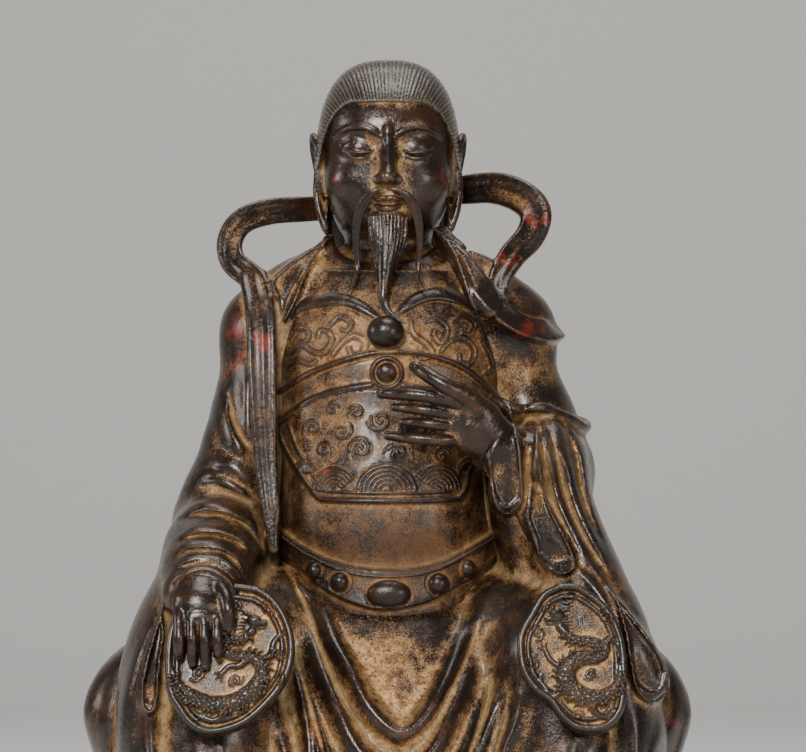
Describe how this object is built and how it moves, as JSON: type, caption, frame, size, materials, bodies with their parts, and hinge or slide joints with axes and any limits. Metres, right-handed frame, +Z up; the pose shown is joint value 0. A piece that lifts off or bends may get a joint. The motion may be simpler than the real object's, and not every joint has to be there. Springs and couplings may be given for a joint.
{
  "type": "zhenwu figure",
  "caption": "Seated bearded warrior god in armour and robe, one hand on the knee and one raised before the chest, cast in one with a low plinth.",
  "frame": {"origin": "middle of the plinth's flat underside", "axes": "+Z up, the figure faces -Y, its right side is at -X"},
  "size_m": [0.298, 0.216, 0.4035],
  "materials": {
    "lacquered_bronze": "dark brown lacquer rubbed glossy on the high places, worn gilding and traces of red in the hollows"
  },
  "bodies": {
    "root": {"figure": "lacquered_bronze"}
  },
  "joints": []
}
